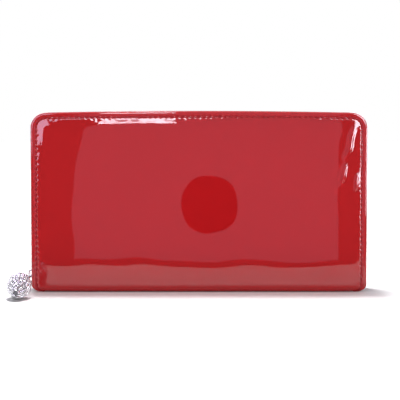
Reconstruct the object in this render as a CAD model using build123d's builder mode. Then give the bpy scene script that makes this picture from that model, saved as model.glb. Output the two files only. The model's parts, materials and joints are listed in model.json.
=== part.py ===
from build123d import *
from math import atan2, cos, degrees, pi, radians, sin
import os

os.makedirs("parts", exist_ok=True)

# A long zip around wallet standing on its spine. X runs along its length, -Y is the front and +Z is up.
# The origin is the middle of the flat under the spine. All sizes are in millimetres.

# Leather shell
wallet_length = 195.0
wallet_height = 105.0
wallet_depth = 25.0
top_corner_radius = 9.0
spine_corner_radius = 4.5
spine_radius = 8.0
fold_height = 10.0
fold_gap = 0.2
leather = 1.2
board = 0.8
lining = 0.4

# Main zip
tape_inset = 2.2
tape_thickness = 0.5
tape_gap = 3.8
panel_to_tape = 0.3
tooth_pitch = 2.4
tooth_length = 0.9
tooth_height = 2.2
tooth_grip = 0.7
tooth_reach = 0.75
tooth_slot_clearance = 0.05
tail_floor_clearance = 0.4
stop_length = 1.8
stop_corner = 0.44

# Slider of the main zip
slider_length = 10.2
slider_bottom = 2.8
slider_plate = 0.9
slider_tooth_clearance = 0.25
slider_half_wide = 4.6
slider_half_narrow = 3.7
slider_flange = 0.8
slider_tape_clearance = 0.2
slider_shoulder_share = 0.55
slider_shoulder_below = 2.0
slider_shoulder_above = 1.0
slider_plate_corner = 1.0
slider_flange_margin = 1.0
post_length = 3.4
post_half_width = 1.2
post_setback = 1.2
bridge_length = 8.4
bridge_width = 2.2
bridge_wall = 1.0
bridge_leg = 1.2
bridge_opening = 2.2
bridge_outer_radius = 2.0
bridge_inner_radius = 1.0

# Pull link and charm
link_wire = 1.2
link_half_width = 2.2
link_tail = 3.2
link_front_clearance = 17.0
charm_hang_height = 9.4
charm_pitch = 10.0
charm_yaw = -1.5
charm_length = 24.6
charm_neck = 4.6
charm_neck_radius = 2.4
charm_bulge = 7.7
charm_waist = 8.6
eye_hole_radius = 1.25
eye_outer_radius = 2.2
eye_thickness = 1.3
cap_radius = 2.9
cap_start = 1.7
cap_start_radius = 0.45
cap_shoulder = 2.5
cap_shoulder_radius = 1.4
stone_radius = 0.72
stone_height = 0.5
stone_gap = 0.14
stone_lift = 0.02
stone_rings = 12

# Card pockets on the inside of each cover
pocket_sheet = 0.5
pocket_gap = 0.2
pocket_side_margin = 6.25
pocket_bottom_clearance = 5.0
backing_top_clearance = 6.0
first_pocket_drop = 7.5
pocket_step = 11.0

# Coin pocket in the middle
coin_cavity = 4.4
coin_wall = 0.6
coin_side_margin = 7.0
coin_floor_clearance = 0.3
coin_top_clearance = 15.8
coin_tape_rise = 4.1
coin_tape_lap = 6.0
coin_tape = 0.5
coin_tape_gap = 2.4
coin_zip_end_margin = 8.0
coin_tooth_pitch = 1.8
coin_tooth_length = 0.7
coin_tooth_height = 1.8
coin_tooth_grip = 0.5
coin_tooth_reach = 0.5
coin_slider_length = 8.0
coin_slider_plate = 0.7
coin_slider_half_top = 2.9
coin_slider_half_bottom = 2.4
coin_slider_corner = 1.2
coin_post_length = 2.4
coin_post_half_width = 0.7
coin_post_setback = 0.4
coin_bridge_length = 5.6
coin_bridge_width = 1.8
coin_bridge_wall = 0.7
coin_bridge_leg = 0.8
coin_bridge_opening = 1.6
coin_bridge_radius = 1.2
coin_tab_length = 8.4
coin_tab_half_width = 2.1
coin_tab_thickness = 0.8
coin_tab_pin = 0.9
coin_tab_arm = 0.6
coin_tab_start_clearance = 0.5
coin_tab_corner = 1.4
coin_stop_length = 1.6

# Gussets and end tabs
gusset = 0.4
gusset_bottom_clearance = 4.0
gusset_top_clearance = 0.3
gusset_fold_out = 3.8
gusset_cover_step = 1.2
gusset_coin_overlap = 2.0
end_tab = 1.0
end_tab_clearance = 0.25

# Places that follow from the sizes above
half_length = wallet_length / 2
half_depth = wallet_depth / 2
shell_inset = tape_inset + tape_thickness / 2 + panel_to_tape
lining_y = half_depth - leather - board - lining
lining_floor = leather + board + lining
tape_edge = tape_gap / 2
tape_x = half_length - tape_inset
tape_z = wallet_height - tape_inset
tape_corner = top_corner_radius - tape_inset
cover_bottom = fold_height + fold_gap
toward_front = -1
toward_back = 1
sides = {"front": toward_front, "back": toward_back}


def save(piece, name):
    piece.label = name
    export_step(piece, f"parts/{name}.step")


def arch(plane, half_width, top, bottom, radius, wall=0.0):
    """An outline with two rounded top corners, or with a wall thickness the band along its top and sides."""
    with BuildSketch(plane) as sketch:
        with BuildLine():
            FilletPolyline(
                (-half_width, bottom), (-half_width, top), (half_width, top), (half_width, bottom),
                radius=[radius, radius],
            )
            Line((half_width, bottom), (-half_width, bottom))
        make_face()
        if wall:
            inner = half_width - wall
            with BuildLine():
                FilletPolyline(
                    (-inner, bottom), (-inner, top - wall), (inner, top - wall), (inner, bottom),
                    radius=[radius - wall, radius - wall],
                )
                Line((inner, bottom), (-inner, bottom))
            make_face(mode=Mode.SUBTRACT)
    return sketch.sketch


def cover_plane(side, depth):
    """The plane of a cover layer whose outer face lies this deep in the wallet."""
    return Plane.XZ.offset(-side * (half_depth - depth))


def cover_layer(name, side, depth, thickness, inset):
    plane = cover_plane(side, depth)
    outline = arch(plane, half_length - inset, wallet_height - inset, cover_bottom, top_corner_radius - inset)
    with BuildPart() as layer:
        extrude(outline, amount=side * thickness)
    save(layer.part, name)


def spine_layer(name, depth, thickness, end_inset):
    """A U-shaped channel under the fold lines, with its lower end corners rounded as seen from the front."""
    outer = half_depth - depth
    inner = outer - thickness
    with BuildPart() as layer:
        with BuildSketch(Plane.YZ):
            with BuildLine():
                FilletPolyline(
                    (-outer, fold_height), (-outer, depth), (outer, depth), (outer, fold_height),
                    radius=[spine_radius - depth, spine_radius - depth],
                )
                Line((outer, fold_height), (-outer, fold_height))
            make_face()
            floor = depth + thickness
            with BuildLine():
                FilletPolyline(
                    (-inner, fold_height), (-inner, floor), (inner, floor), (inner, fold_height),
                    radius=[spine_radius - floor, spine_radius - floor],
                )
                Line((inner, fold_height), (-inner, fold_height))
            make_face(mode=Mode.SUBTRACT)
        extrude(amount=half_length - end_inset, both=True)
        if not end_inset:
            with BuildSketch(Plane.XZ):
                with BuildLine():
                    FilletPolyline(
                        (-half_length, fold_height), (-half_length, 0), (half_length, 0), (half_length, fold_height),
                        radius=[spine_corner_radius, spine_corner_radius],
                    )
                    Line((half_length, fold_height), (-half_length, fold_height))
                make_face()
            extrude(amount=half_depth, both=True, mode=Mode.INTERSECT)
    save(layer.part, name)


def make_shell():
    for word, side in sides.items():
        cover_layer(f"{word}_cover_leather", side, 0, leather, 0)
        cover_layer(f"{word}_cover_board", side, leather, board, shell_inset)
        cover_layer(f"{word}_cover_lining", side, leather + board, lining, shell_inset)
    spine_layer("spine_leather", 0, leather, 0)
    spine_layer("spine_board", leather, board, shell_inset)
    spine_layer("spine_lining", leather + board, lining, shell_inset)


def make_end_tabs():
    """Leather plates that close the two ends of the spine behind the zip."""
    bottom = lining_floor + end_tab_clearance
    top = fold_height - end_tab_clearance
    outer_x = half_length - tape_inset - tooth_height / 2 - slider_tooth_clearance - slider_plate - end_tab_clearance
    radius = spine_radius - lining_floor
    half_width = lining_y - end_tab_clearance
    for word, way in (("left", -1), ("right", 1)):
        with BuildPart() as tab:
            with BuildSketch(Plane.YZ.offset(way * outer_x)):
                with BuildLine():
                    FilletPolyline(
                        (-half_width, top), (-half_width, bottom), (half_width, bottom), (half_width, top),
                        radius=[radius, radius],
                    )
                    Line((half_width, top), (-half_width, top))
                make_face()
            extrude(amount=-way * end_tab)
        save(tab.part, f"{word}_end_tab")


def make_zip_tapes():
    width = half_depth - leather - tape_edge
    half_width = tape_x + tape_thickness / 2
    top = tape_z + tape_thickness / 2
    radius = tape_corner + tape_thickness / 2
    for word, side in sides.items():
        with BuildPart() as tape:
            extrude(arch(cover_plane(side, leather), half_width, top, cover_bottom, radius, tape_thickness),
                    amount=side * width)
        save(tape.part, f"{word}_zip_tape")
    tail_width = lining_y - tape_edge
    tail_bottom = lining_floor + tail_floor_clearance
    for word, way in (("left", -1), ("right", 1)):
        with BuildPart() as tails:
            with Locations(
                (way * tape_x, -(tape_edge + tail_width / 2), (fold_height + tail_bottom) / 2),
                (way * tape_x, tape_edge + tail_width / 2, (fold_height + tail_bottom) / 2),
            ):
                Box(tape_thickness, tail_width - 2 * tooth_slot_clearance, fold_height - tail_bottom)
            rounds = tails.edges().filter_by(Axis.X).group_by(Axis.Z)[0]
            outer_rounds = [edge for edge in rounds if abs(edge.center().Y) > lining_y / 2]
            fillet(outer_rounds, radius=spine_radius - lining_floor)
        save(tails.part, f"{word}_tape_tails")


def zip_place(distance):
    """The place and direction of the zip's centre line this far along it, from the fold up the left side."""
    side_run = tape_z - tape_corner - cover_bottom
    bend = pi * tape_corner / 2
    top_run = 2 * (tape_x - tape_corner)
    if distance <= side_run:
        return -tape_x, cover_bottom + distance, 90.0
    distance -= side_run
    if distance <= bend:
        turn = distance / tape_corner
        x = -tape_x + tape_corner * (1 - cos(turn))
        return x, tape_z - tape_corner * (1 - sin(turn)), 90.0 - degrees(turn)
    distance -= bend
    if distance <= top_run:
        return -tape_x + tape_corner + distance, tape_z, 0.0
    distance -= top_run
    if distance <= bend:
        turn = distance / tape_corner
        x = tape_x - tape_corner * (1 - sin(turn))
        return x, tape_z - tape_corner * (1 - cos(turn)), -degrees(turn)
    distance -= bend
    return tape_x, tape_z - tape_corner - distance, -90.0


def zip_length():
    return 2 * (tape_z - tape_corner - cover_bottom) + pi * tape_corner + 2 * (tape_x - tape_corner)


def tooth_row(places, side, edge, grip, reach, height, tape, length):
    """One row of teeth, each a block slotted over the tape's edge and reaching past the middle of the zip."""
    back = edge + grip
    with BuildPart() as tooth:
        with BuildSketch(Plane.XY):
            with Locations((side * (back - reach) / 2, 0)):
                Rectangle(back + reach, height)
            with Locations((side * (back + edge - tooth_slot_clearance) / 2, 0)):
                Rectangle(grip + tooth_slot_clearance, tape + 2 * tooth_slot_clearance, mode=Mode.SUBTRACT)
        extrude(amount=length / 2, both=True)
    with BuildPart() as row:
        with Locations(places):
            add(tooth.part)
    return row.part


def make_zip_teeth():
    above_post = slider_bottom + post_setback + post_length + tooth_pitch / 2 - cover_bottom
    first = max(above_post, tooth_pitch / 2)
    count = int((zip_length() - first - tooth_pitch) / tooth_pitch)
    for word, side in sides.items():
        shift = 0 if side == toward_front else tooth_pitch / 2
        places = []
        for index in range(count):
            x, z, angle = zip_place(first + shift + index * tooth_pitch)
            tangent = Vector(cos(radians(angle)), 0, sin(radians(angle)))
            places.append(Location(Plane(origin=(x, 0, z), x_dir=(0, 1, 0), z_dir=tangent)))
        teeth = tooth_row(places, side, tape_edge, tooth_grip, tooth_reach, tooth_height, tape_thickness,
                          tooth_length)
        save(teeth, f"{word}_zip_teeth")


def make_bottom_stop():
    """The box that joins the two tapes at the right-hand end of the zip."""
    top = fold_height - fold_gap
    with BuildPart() as stop:
        with Locations((tape_x, 0, top - stop_length / 2)):
            Box(tooth_height, tape_gap - 2 * tooth_slot_clearance, stop_length)
        fillet(stop.edges().filter_by(Axis.Y), radius=stop_corner)
    save(stop.part, "zip_bottom_stop")


plate_gap = tooth_height / 2 + slider_tooth_clearance
slider_top = slider_bottom + slider_length


def slider_plate_sketch(x):
    """The shield outline of a slider plate: wide at the mouth where the two rows part, narrow at the other end."""
    shoulder = slider_bottom + slider_length * slider_shoulder_share
    with BuildSketch(Plane.YZ.offset(x)) as sketch:
        with BuildLine():
            Polyline(
                (-slider_half_wide, slider_bottom), (-slider_half_wide, shoulder - slider_shoulder_below),
                (-slider_half_narrow, shoulder + slider_shoulder_above), (-slider_half_narrow, slider_top),
                (slider_half_narrow, slider_top), (slider_half_narrow, shoulder + slider_shoulder_above),
                (slider_half_wide, shoulder - slider_shoulder_below), (slider_half_wide, slider_bottom), close=True,
            )
        make_face()
        fillet(sketch.vertices(), radius=slider_plate_corner)
    return sketch.sketch


def make_slider():
    """Two plates joined by a post, with flanges that leave a slot for the tape on each side."""
    outer = -tape_x - plate_gap
    inner = -tape_x + plate_gap
    slot = tape_thickness / 2 + slider_tape_clearance
    flange_reach = plate_gap - slot
    with BuildPart() as body:
        extrude(slider_plate_sketch(outer), amount=-slider_plate)
        extrude(slider_plate_sketch(inner), amount=slider_plate)
        with Locations((-tape_x, 0, slider_bottom + post_setback + post_length / 2)):
            Box(2 * plate_gap, 2 * post_half_width, post_length)
        flange_y = slider_half_narrow - slider_flange / 2
        flange_z = slider_bottom + slider_length / 2
        for x in (outer + flange_reach / 2, inner - flange_reach / 2):
            with Locations((x, -flange_y, flange_z), (x, flange_y, flange_z)):
                Box(flange_reach, slider_flange, slider_length - 2 * slider_flange_margin)
    save(body.part, "zip_slider_body")
    return outer - slider_plate


def make_bridge(face_x):
    """The arch on the slider's outer plate that the pull link runs through."""
    reach = bridge_opening + bridge_wall
    low = slider_bottom + (slider_length - bridge_length) / 2
    high = low + bridge_length
    with BuildPart() as bridge:
        with BuildSketch(Plane.XZ):
            with BuildLine():
                FilletPolyline(
                    (face_x, low), (face_x - reach, low), (face_x - reach, high), (face_x, high),
                    radius=[bridge_outer_radius, bridge_outer_radius],
                )
                Line((face_x, high), (face_x, low))
            make_face()
            with BuildLine():
                FilletPolyline(
                    (face_x, low + bridge_leg), (face_x - bridge_opening, low + bridge_leg),
                    (face_x - bridge_opening, high - bridge_leg), (face_x, high - bridge_leg),
                    radius=[bridge_inner_radius, bridge_inner_radius],
                )
                Line((face_x, high - bridge_leg), (face_x, low + bridge_leg))
            make_face(mode=Mode.SUBTRACT)
        extrude(amount=bridge_width / 2, both=True)
    save(bridge.part, "zip_slider_bridge")


def make_pull_link(hinge, eye):
    """A stadium of round wire that runs through the bridge at one end and the charm's eye at the other."""
    along = Vector(0, eye.Y - hinge.Y, eye.Z - hinge.Z)
    reach = along.length
    plane = Plane(origin=hinge, x_dir=along, z_dir=along.cross(Vector(1, 0, 0)))
    back = -link_tail + link_half_width
    front = reach - link_half_width
    with BuildPart() as link:
        with BuildLine(plane) as path:
            Line((back, -link_half_width), (front, -link_half_width))
            ThreePointArc((front, -link_half_width), (reach, 0), (front, link_half_width))
            Line((front, link_half_width), (back, link_half_width))
            ThreePointArc((back, link_half_width), (-link_tail, 0), (back, -link_half_width))
        with BuildSketch(Plane(origin=path.line @ 0, z_dir=path.line % 0)):
            Circle(link_wire / 2)
        sweep(path=path.line)
    save(link.part, "pull_link")


def charm_frame(eye):
    """A plane at the charm's eye with X down the charm's axis and Z along the axis that it swings on."""
    pitch = radians(charm_pitch)
    yaw = radians(charm_yaw)
    axis = Vector(sin(yaw) * cos(pitch), -cos(yaw) * cos(pitch), -sin(pitch))
    swing = Vector(cos(yaw), sin(yaw), 0)
    return Plane(origin=eye, x_dir=axis, z_dir=swing)


def make_charm(eye):
    frame = charm_frame(eye)
    tip = charm_neck + charm_length
    with BuildPart() as body:
        with BuildSketch(frame):
            with BuildLine() as outline:
                side = Bezier((charm_neck, charm_neck_radius), (charm_neck, charm_bulge),
                              (charm_neck + charm_length / 2, charm_waist), (tip, 0))
                Line((tip, 0), (charm_neck, 0))
                Line((charm_neck, 0), (charm_neck, charm_neck_radius))
            make_face()
        revolve(axis=Axis(frame.origin, frame.x_dir))
    save(body.part, "charm_body")
    with BuildPart() as cap:
        with BuildSketch(frame):
            Circle(eye_outer_radius)
        extrude(amount=eye_thickness / 2, both=True)
        with BuildSketch(frame):
            with BuildLine():
                Polyline((cap_start, 0), (cap_start, cap_start_radius), (cap_shoulder, cap_shoulder_radius),
                         (charm_neck, cap_radius), (charm_neck, 0), close=True)
            make_face()
        revolve(axis=Axis(frame.origin, frame.x_dir))
        with BuildSketch(frame):
            Circle(eye_hole_radius)
        extrude(amount=cap_radius, both=True, mode=Mode.SUBTRACT)
    save(cap.part, "charm_cap")
    make_stones(frame, side)


def make_stones(frame, side):
    """Rings of small round stones set all over the charm, each lying on the surface where its ring crosses it."""
    spacing = 2 * stone_radius + stone_gap
    places = []
    run = side.length - spacing
    rings = min(stone_rings, int(run / spacing))
    for ring in range(rings):
        share = (spacing / 2 + stone_radius + ring * (run - spacing / 2) / rings) / side.length
        spot = side @ share
        slope = side % share
        radius = spot.Y
        if radius < spacing:
            continue
        count = int(pi / atan2(spacing / 2, radius))
        for index in range(count):
            turn = 2 * pi * (index + 0.5 * (ring % 2)) / count
            around = frame.y_dir * cos(turn) + frame.z_dir * sin(turn)
            normal = frame.x_dir * -slope.Y + around * slope.X
            origin = frame.origin + frame.x_dir * spot.X + around * spot.Y + normal * stone_lift
            places.append(Location(Plane(origin=origin, z_dir=normal)))
    with BuildPart() as stone:
        with BuildSketch(Plane.XY):
            Circle(stone_radius)
        extrude(amount=stone_height)
    with BuildPart() as stones:
        with Locations(places):
            add(stone.part)
    save(stones.part, "charm_stones")


def make_pull(face_x):
    bore_x = face_x - bridge_opening / 2
    hinge = Vector(bore_x - link_half_width, 0, slider_bottom + slider_length / 2)
    eye = Vector(hinge.X, -half_depth - link_front_clearance, charm_hang_height)
    make_pull_link(hinge, eye)
    make_charm(eye)
    print("pull link hinge", hinge, "charm eye", eye, "swing axis", charm_frame(eye).z_dir)


def make_card_pockets():
    """A backing and three stepped pocket sheets on the inside of each cover."""
    half_width = half_length - shell_inset - pocket_side_margin
    bottom = cover_bottom + pocket_bottom_clearance
    backing_top = wallet_height - shell_inset - backing_top_clearance
    tops = {"card_backing": backing_top}
    for index, word in enumerate(("high", "middle", "low")):
        tops[f"{word}_card_pocket"] = backing_top - first_pocket_drop - index * pocket_step
    for word, side in sides.items():
        depth = leather + board + lining + pocket_gap
        for name, top in tops.items():
            with BuildPart() as sheet:
                with BuildSketch(cover_plane(side, depth)):
                    with Locations((0, (top + bottom) / 2)):
                        Rectangle(2 * half_width, top - bottom)
                extrude(amount=side * pocket_sheet)
            save(sheet.part, f"{word}_{name}")
            depth += pocket_sheet + pocket_gap


coin_half = half_length - shell_inset - coin_side_margin
coin_floor = lining_floor + coin_floor_clearance
coin_top = wallet_height - tape_inset - coin_top_clearance
coin_face = coin_cavity / 2 + coin_wall
coin_tape_z = coin_top + coin_tape_rise + coin_tape / 2
coin_edge = coin_tape_gap / 2


def make_coin_pocket():
    for word, side in sides.items():
        with BuildPart() as wall:
            with Locations((0, side * (coin_face - coin_wall / 2), (coin_floor + coin_top) / 2)):
                Box(2 * coin_half, coin_wall, coin_top - coin_floor)
        save(wall.part, f"coin_pocket_{word}_wall")
        with BuildPart() as tape:
            with BuildSketch(Plane.YZ):
                with BuildLine():
                    Polyline(
                        (side * coin_face, coin_top - coin_tape_lap),
                        (side * coin_face, coin_tape_z - coin_tape / 2),
                        (side * coin_edge, coin_tape_z - coin_tape / 2),
                        (side * coin_edge, coin_tape_z + coin_tape / 2),
                        (side * (coin_face + coin_tape), coin_tape_z + coin_tape / 2),
                        (side * (coin_face + coin_tape), coin_top - coin_tape_lap), close=True,
                    )
                make_face()
            extrude(amount=coin_half, both=True)
        save(tape.part, f"coin_zip_{word}_tape")
    with BuildPart() as strip:
        with BuildSketch(Plane.XZ):
            with Locations((0, (coin_floor + coin_top) / 2)):
                Rectangle(2 * coin_half, coin_top - coin_floor)
            with Locations((0, (coin_floor + coin_wall + coin_top) / 2)):
                Rectangle(2 * (coin_half - coin_wall), coin_top - coin_floor - coin_wall, mode=Mode.SUBTRACT)
        extrude(amount=coin_cavity / 2, both=True)
    save(strip.part, "coin_pocket_side_strip")


coin_zip_end = coin_half - coin_zip_end_margin
coin_plate_z = coin_tooth_height / 2 + slider_tooth_clearance


def make_coin_teeth():
    run = 2 * coin_zip_end - coin_post_length - 2 * coin_tooth_pitch
    count = int(run / coin_tooth_pitch)
    for word, side in sides.items():
        shift = 0 if side == toward_front else coin_tooth_pitch / 2
        places = []
        for index in range(count):
            x = -coin_zip_end + coin_tooth_pitch + shift + index * coin_tooth_pitch
            places.append(Location(Plane(origin=(x, 0, coin_tape_z), x_dir=(0, 1, 0), z_dir=(1, 0, 0))))
        teeth = tooth_row(places, side, coin_edge, coin_tooth_grip, coin_tooth_reach, coin_tooth_height, coin_tape,
                          coin_tooth_length)
        save(teeth, f"coin_zip_{word}_teeth")
    with BuildPart() as stops:
        end_x = coin_zip_end + coin_stop_length
        with Locations((-end_x, 0, coin_tape_z)):
            Box(coin_stop_length, coin_tape_gap - 2 * tooth_slot_clearance, coin_tooth_height)
            lift = coin_tape_z + coin_tape
        with Locations((end_x, -coin_edge - coin_tape, lift), (end_x, coin_edge + coin_tape, lift)):
            Box(coin_stop_length, 2 * coin_tape, coin_tape)
    save(stops.part, "coin_zip_stops")


def make_coin_slider():
    middle = coin_zip_end - coin_slider_length / 2
    with BuildPart() as body:
        with Locations((middle, 0, coin_tape_z + coin_plate_z + coin_slider_plate / 2)):
            Box(coin_slider_length, 2 * coin_slider_half_top, coin_slider_plate)
        with Locations((middle, 0, coin_tape_z - coin_plate_z - coin_slider_plate / 2)):
            Box(coin_slider_length, 2 * coin_slider_half_bottom, coin_slider_plate)
        fillet(body.edges().filter_by(Axis.Z), radius=coin_slider_corner)
        with Locations((coin_zip_end - coin_post_length / 2 - coin_post_setback, 0, coin_tape_z)):
            Box(coin_post_length, 2 * coin_post_half_width, 2 * coin_plate_z)
    save(body.part, "coin_slider_body")
    face_z = coin_tape_z + coin_plate_z + coin_slider_plate
    half = coin_bridge_length / 2
    rise = coin_bridge_opening + coin_bridge_wall
    with BuildPart() as bridge:
        with BuildSketch(Plane.XZ):
            with BuildLine():
                FilletPolyline(
                    (middle - half, face_z), (middle - half, face_z + rise), (middle + half, face_z + rise),
                    (middle + half, face_z), radius=[coin_bridge_radius, coin_bridge_radius],
                )
                Line((middle + half, face_z), (middle - half, face_z))
            make_face()
            with Locations((middle, face_z + coin_bridge_opening / 2)):
                Rectangle(coin_bridge_length - 2 * coin_bridge_leg, coin_bridge_opening, mode=Mode.SUBTRACT)
        extrude(amount=coin_bridge_width / 2, both=True)
    save(bridge.part, "coin_slider_bridge")
    return middle, face_z


def make_coin_pull_tab(middle, face_z):
    """A small tab whose pin runs through the bridge, with two arms that pass either side of it."""
    pin_x = middle
    pin_z = face_z + coin_bridge_opening / 2
    plate_end = pin_x - coin_tab_length
    plate_start = middle - coin_bridge_length / 2 - coin_tab_start_clearance
    arm_y = coin_tab_half_width - coin_tab_arm / 2
    with BuildPart() as tab:
        with BuildSketch(Plane.XZ.offset(-coin_tab_half_width)):
            with Locations((pin_x, pin_z)):
                Circle(coin_tab_pin / 2)
        extrude(amount=2 * coin_tab_half_width)
        arm_length = pin_x - plate_start
        with Locations((pin_x - arm_length / 2, -arm_y, pin_z), (pin_x - arm_length / 2, arm_y, pin_z)):
            Box(arm_length, coin_tab_arm, coin_tab_thickness)
        with Locations(((plate_start + plate_end) / 2, 0, pin_z)):
            Box(plate_start - plate_end, 2 * coin_tab_half_width, coin_tab_thickness)
        ends = tab.edges().filter_by(Axis.Z).group_by(Axis.X)[0]
        fillet(ends, radius=coin_tab_corner)
    save(tab.part, "coin_pull_tab")
    print("coin pull pin", pin_x, pin_z)


def make_gussets():
    """Folded side strips between each cover and the coin pocket that stop the wallet from opening flat."""
    bottom = cover_bottom + gusset_bottom_clearance
    top = coin_top - coin_tape_lap - gusset_top_clearance
    cover_y = lining_y - gusset
    coin_y = coin_face + gusset
    fold_y = (cover_y + coin_y) / 2
    outer_x = coin_half + gusset_fold_out
    for word, side in sides.items():
        for end, way in (("left", -1), ("right", 1)):
            with BuildPart() as strip:
                with BuildSketch(Plane.XY.offset(bottom)):
                    with BuildLine():
                        Polyline(
                            (way * (outer_x - gusset_cover_step), side * cover_y), (way * outer_x, side * fold_y),
                            (way * (coin_half - gusset_coin_overlap), side * coin_y),
                            (way * (coin_half - gusset_coin_overlap), side * (coin_y - gusset / 2)),
                            (way * (outer_x + gusset), side * fold_y),
                            (way * (outer_x - gusset_cover_step + gusset), side * cover_y), close=True,
                        )
                    make_face()
                extrude(amount=top - bottom)
            save(strip.part, f"{word}_{end}_gusset")


make_shell()
make_end_tabs()
make_zip_tapes()
make_zip_teeth()
make_bottom_stop()
bridge_face = make_slider()
make_bridge(bridge_face)
make_pull(bridge_face)
make_card_pockets()
make_coin_pocket()
make_coin_teeth()
coin_middle, coin_bridge_face = make_coin_slider()
make_coin_pull_tab(coin_middle, coin_bridge_face)
make_gussets()
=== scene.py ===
import bpy
import bmesh
import json
import math
import numpy as np
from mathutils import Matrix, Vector


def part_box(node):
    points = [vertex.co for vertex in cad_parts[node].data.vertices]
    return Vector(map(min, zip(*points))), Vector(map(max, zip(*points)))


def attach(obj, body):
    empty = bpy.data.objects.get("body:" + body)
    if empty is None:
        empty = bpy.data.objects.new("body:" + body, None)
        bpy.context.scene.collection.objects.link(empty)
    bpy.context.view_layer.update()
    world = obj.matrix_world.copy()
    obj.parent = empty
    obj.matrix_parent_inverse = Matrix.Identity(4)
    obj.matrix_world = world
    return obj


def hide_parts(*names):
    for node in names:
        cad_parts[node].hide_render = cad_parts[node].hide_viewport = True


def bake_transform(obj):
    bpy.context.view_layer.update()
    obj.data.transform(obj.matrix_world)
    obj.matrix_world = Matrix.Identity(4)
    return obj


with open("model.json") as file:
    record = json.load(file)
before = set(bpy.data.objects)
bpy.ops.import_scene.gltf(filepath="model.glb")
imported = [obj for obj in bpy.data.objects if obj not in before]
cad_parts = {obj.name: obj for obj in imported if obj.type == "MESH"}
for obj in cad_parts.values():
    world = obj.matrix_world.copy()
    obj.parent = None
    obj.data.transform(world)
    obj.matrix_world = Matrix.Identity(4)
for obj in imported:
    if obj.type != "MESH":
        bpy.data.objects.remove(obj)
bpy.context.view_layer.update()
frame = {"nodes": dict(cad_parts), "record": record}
nodes = frame["nodes"]
joints = {joint["name"]: joint for joint in frame["record"]["behaviour"]["joints"]}
mm = 0.001


def boxMm(node):  # the low and high corners of a node's box
    low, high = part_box(node)
    return np.array(low) / mm, np.array(high) / mm


# Sizes are in millimetres. The wallet's own come from the frame, so every piece lies where the model says.
leatherLow, leatherHigh = boxMm("front_cover_leather")
liningHigh = boxMm("front_cover_lining")[1]
tapeHigh = boxMm("front_zip_tape")[1]
foldHeight = joints["front_cover_open"]["pos_m"][2] / mm
wallet = {
    "halfLength": leatherHigh[0], "height": leatherHigh[2], "halfDepth": -leatherLow[1],
    "leather": leatherHigh[1] - leatherLow[1], "cornerRadius": 9.0, "spineRadius": 3.0, "spineCorner": 4.5,
    "topBow": 1.1, "bendBelow": 2.0, "bendAbove": 3.0, "sides": {"front": -1, "back": 1},
}


def makeMesh(name, points, faces, material, attributes=None, smooth=True, fixNormals=False):
    # one object from (n, 3) points in millimetres and a list of faces, with values per point or per face
    mesh = bpy.data.meshes.new(name)
    mesh.from_pydata((np.asarray(points, float) * mm).tolist(), [], [list(map(int, face)) for face in faces])
    for key, values in (attributes or {}).items():
        values = np.asarray(values, np.float32)
        kind = "FLOAT" if values.ndim == 1 else "FLOAT_VECTOR"
        layer = mesh.attributes.new(key, kind, "POINT" if len(values) == len(points) else "FACE")
        layer.data.foreach_set("value" if values.ndim == 1 else "vector", values.ravel())
    mesh.materials.append(material)
    mesh.polygons.foreach_set("use_smooth", np.full(len(mesh.polygons), smooth))
    if fixNormals:
        shape = bmesh.new()
        shape.from_mesh(mesh)
        bmesh.ops.recalc_face_normals(shape, faces=shape.faces)
        shape.to_mesh(mesh)
        shape.free()
    mesh.update()
    piece = bpy.data.objects.new(name, mesh)
    bpy.context.scene.collection.objects.link(piece)
    return piece


def gridFaces(rows, columns, closeRows=False, closeColumns=False, offset=0):
    # quads of a rows by columns grid of points counted row by row
    r = np.arange(rows if closeRows else rows - 1)
    c = np.arange(columns if closeColumns else columns - 1)
    r, c = np.meshgrid(r, c, indexing="ij")
    r2, c2 = (r + 1) % rows, (c + 1) % columns
    quads = np.stack([r * columns + c, r * columns + c2, r2 * columns + c2, r2 * columns + c], -1)
    return quads.reshape(-1, 4) + offset


def ringFaces(rings, count):
    # the quads of stacked closed rings, with a flat cap at each end
    caps = [list(range(count))[::-1], list(range((rings - 1) * count, rings * count))]
    return gridFaces(rings, count, False, True).tolist() + caps


def slab(face, rear):
    # a closed sheet between two (rows, columns, 3) grids: both grids and a rim of quads round their edge
    rows, columns = face.shape[:2]
    n = rows * columns
    grid = gridFaces(rows, columns)
    loop = np.concatenate([
        np.arange(columns), np.arange(1, rows) * columns + columns - 1,
        np.arange(columns - 2, -1, -1) + (rows - 1) * columns, np.arange(rows - 2, 0, -1) * columns])
    rim = np.stack([loop, np.roll(loop, -1), np.roll(loop, -1) + n, loop + n], -1)
    points = np.concatenate([face.reshape(-1, 3), rear.reshape(-1, 3)])
    return points, grid.tolist() + (grid + n).tolist() + rim.tolist()


def unit(vectors):  # each vector divided by its length
    return vectors / np.maximum(np.linalg.norm(vectors, axis=-1, keepdims=True), 1e-12)


def turnOf(steps):  # even angles round a full turn
    return np.linspace(0, 2 * math.pi, steps, endpoint=False)


def closedTube(path, radius, sides):
    # a round section carried along a closed path: each ring is centre + radius (cos a * side + sin a * up)
    tangent = unit(np.roll(path, -1, 0) - np.roll(path, 1, 0))
    side = unit(np.cross(tangent, np.tile(np.array([0.13, 0.21, 0.97]), (len(path), 1))))
    up = np.cross(side, tangent)
    a = turnOf(sides)[None, :, None]
    points = path[:, None] + radius * (np.cos(a) * side[:, None] + np.sin(a) * up[:, None])
    return points.reshape(-1, 3), gridFaces(len(path), sides, True, True).tolist()


def manyCopies(template, templateFaces, centres, across, along, up):
    # the template repeated at each centre, its x, y and z taken along the three direction arrays
    points = centres[:, None] + (
        template[None, :, 0:1] * across[:, None] + template[None, :, 1:2] * along[:, None]
        + template[None, :, 2:3] * up[:, None])
    faces = [[v + k * len(template) for v in face] for k in range(len(centres)) for face in templateFaces]
    return points.reshape(-1, 3), faces


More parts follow.
